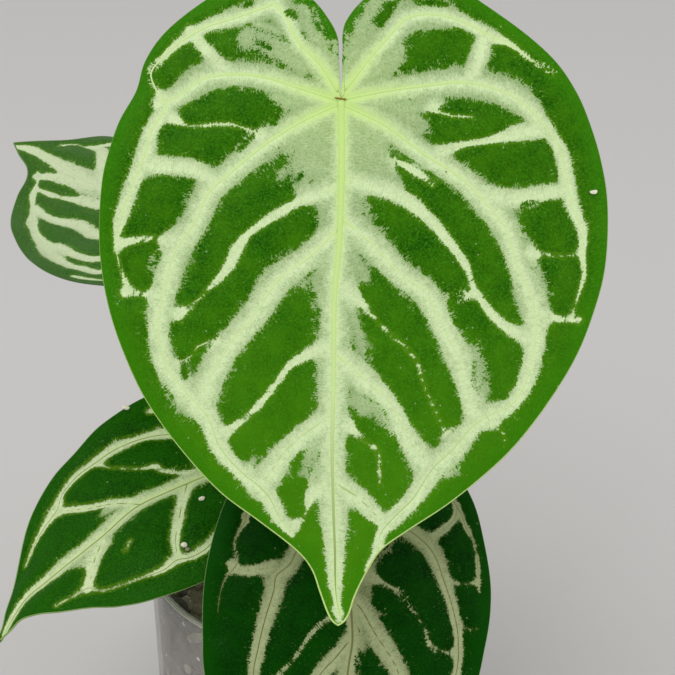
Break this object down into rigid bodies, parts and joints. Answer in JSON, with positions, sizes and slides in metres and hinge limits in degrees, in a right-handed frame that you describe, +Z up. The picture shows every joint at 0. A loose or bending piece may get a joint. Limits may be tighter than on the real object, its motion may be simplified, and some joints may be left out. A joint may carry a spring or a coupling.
{
  "type": "potted anthurium",
  "caption": "Potted foliage plant: heart-shaped silver-veined leaves on arching petioles rise from one crown in a plain round clear plastic pot, for display on a flat surface.",
  "frame": {"origin": "centre of the pot's underside, on the surface that the pot stands on", "axes": "+Z up along the pot's axis, the large front leaf faces -Y and hangs with its tip down, +X to the right seen from the front"},
  "size_m": [0.2315, 0.2506, 0.35],
  "materials": {
    "blade": "satin leaf, velvety green with silver veins",
    "petiole": "satin green stem",
    "rootstock": "rough brown",
    "cataphyll": "dry papery sheath",
    "mix": "rough bark and perlite mix",
    "pot": "clear, slightly grey"
  },
  "bodies": {
    "root": {"pot": "pot", "potting_mix": "mix", "rootstock": "rootstock", "cataphyll_right": "cataphyll", "cataphyll_left": "cataphyll", "petiole_front": "petiole", "petiole_side": "petiole", "petiole_low": "petiole", "petiole_back": "petiole", "blade_front": "blade", "blade_side": "blade", "blade_low": "blade", "blade_back": "blade"}
  },
  "joints": []
}
